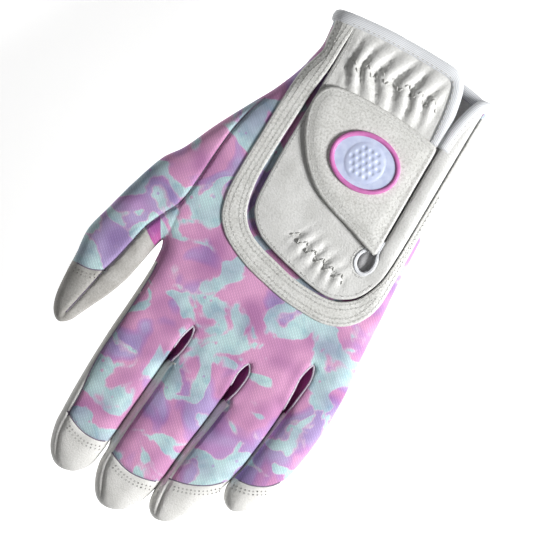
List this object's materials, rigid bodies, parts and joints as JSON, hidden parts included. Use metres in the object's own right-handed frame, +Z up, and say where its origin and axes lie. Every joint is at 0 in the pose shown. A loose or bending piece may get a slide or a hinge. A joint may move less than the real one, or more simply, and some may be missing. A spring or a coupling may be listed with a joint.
{
  "type": "golf glove",
  "caption": "Left-hand golf glove lying palm down: leather palm, printed stretch back, gusseted fingers and a wrist tab that peels open.",
  "frame": {"origin": "on the rest plane under the middle of the palm, 70 mm from the wrist edge", "axes": "+Y from the wrist towards the fingertips, +X towards the thumb, +Z up out of the back of the glove"},
  "size_m": [0.1291, 0.2318, 0.021],
  "materials": {
    "white_leather": "fine-grained, soft sheen",
    "printed_knit": "stretch knit printed in pink, mint and lilac blotches",
    "gusset_knit": "stretch knit, purple",
    "elastic_tape": "ribbed elastic tape",
    "loop_tape": "brushed loop pile",
    "hook_tape": "moulded hooks",
    "foam": "open foam",
    "lining": "plain woven lining",
    "lilac_rubber": "moulded, satin",
    "pink_rubber": "moulded, satin"
  },
  "bodies": {
    "hand": {"palm_panel": "white_leather", "back_panel": "printed_knit", "thumb_base_back": "printed_knit", "index_middle_gusset": "gusset_knit", "middle_ring_gusset": "gusset_knit", "ring_pinky_gusset": "gusset_knit", "thumb_gusset": "gusset_knit", "yoke_band": "white_leather", "channel_strip": "printed_knit", "closure_panel": "printed_knit", "ulnar_flap": "printed_knit", "slit_binding": "elastic_tape", "cuff_binding": "elastic_tape", "wrist_elastic": "elastic_tape", "slit_elastic": "elastic_tape", "loop_pad": "loop_tape", "tab_anchor": "white_leather"},
    "tab": {"tab_skin": "white_leather", "tab_padding": "foam", "tab_lining": "lining", "hook_patch": "hook_tape", "badge_base": "lilac_rubber", "badge_rim": "pink_rubber", "badge_ball": "lilac_rubber"},
    "index": {"index_front": "white_leather", "index_back": "printed_knit", "index_tip": "white_leather", "index_fourchette_littleside": "gusset_knit"},
    "middle": {"middle_front": "white_leather", "middle_back": "printed_knit", "middle_tip": "white_leather", "middle_fourchette_thumbside": "white_leather", "middle_fourchette_littleside": "gusset_knit"},
    "ring": {"ring_front": "white_leather", "ring_back": "printed_knit", "ring_tip": "white_leather", "ring_fourchette_thumbside": "white_leather", "ring_fourchette_littleside": "gusset_knit"},
    "pinky": {"pinky_front": "white_leather", "pinky_back": "printed_knit", "pinky_tip": "white_leather", "pinky_fourchette_thumbside": "gusset_knit"},
    "thumb": {"thumb_front": "white_leather", "thumb_back": "printed_knit", "thumb_tip": "white_leather", "thumb_side": "white_leather"}
  },
  "joints": [
    {"name": "index_knuckle", "type": "hinge", "parent": "hand", "child": "index", "pos_m": [0.0324, 0.082, 0.005], "axis": [-0.9997, 0.0262, 0], "range_deg": [-10, 80]},
    {"name": "middle_knuckle", "type": "hinge", "parent": "hand", "child": "middle", "pos_m": [0.0044, 0.083, 0.005], "axis": [-0.9962, 0.0872, 0], "range_deg": [-10, 80]},
    {"name": "ring_knuckle", "type": "hinge", "parent": "hand", "child": "ring", "pos_m": [-0.023, 0.079, 0.005], "axis": [-0.9871, 0.1599, 0], "range_deg": [-10, 80]},
    {"name": "pinky_knuckle", "type": "hinge", "parent": "hand", "child": "pinky", "pos_m": [-0.0452, 0.071, 0.005], "axis": [-0.989, 0.1478, 0], "range_deg": [-10, 80]},
    {"name": "thumb_knuckle", "type": "hinge", "parent": "hand", "child": "thumb", "pos_m": [0.0565, 0.03, 0.005], "axis": [-0.9877, 0.1564, 0], "range_deg": [-10, 50]},
    {"name": "tab_peel", "type": "hinge", "parent": "hand", "child": "tab", "pos_m": [-0.03465, -0.016, 0.0196], "axis": [0, -1, 0], "range_deg": [0, 150]}
  ]
}
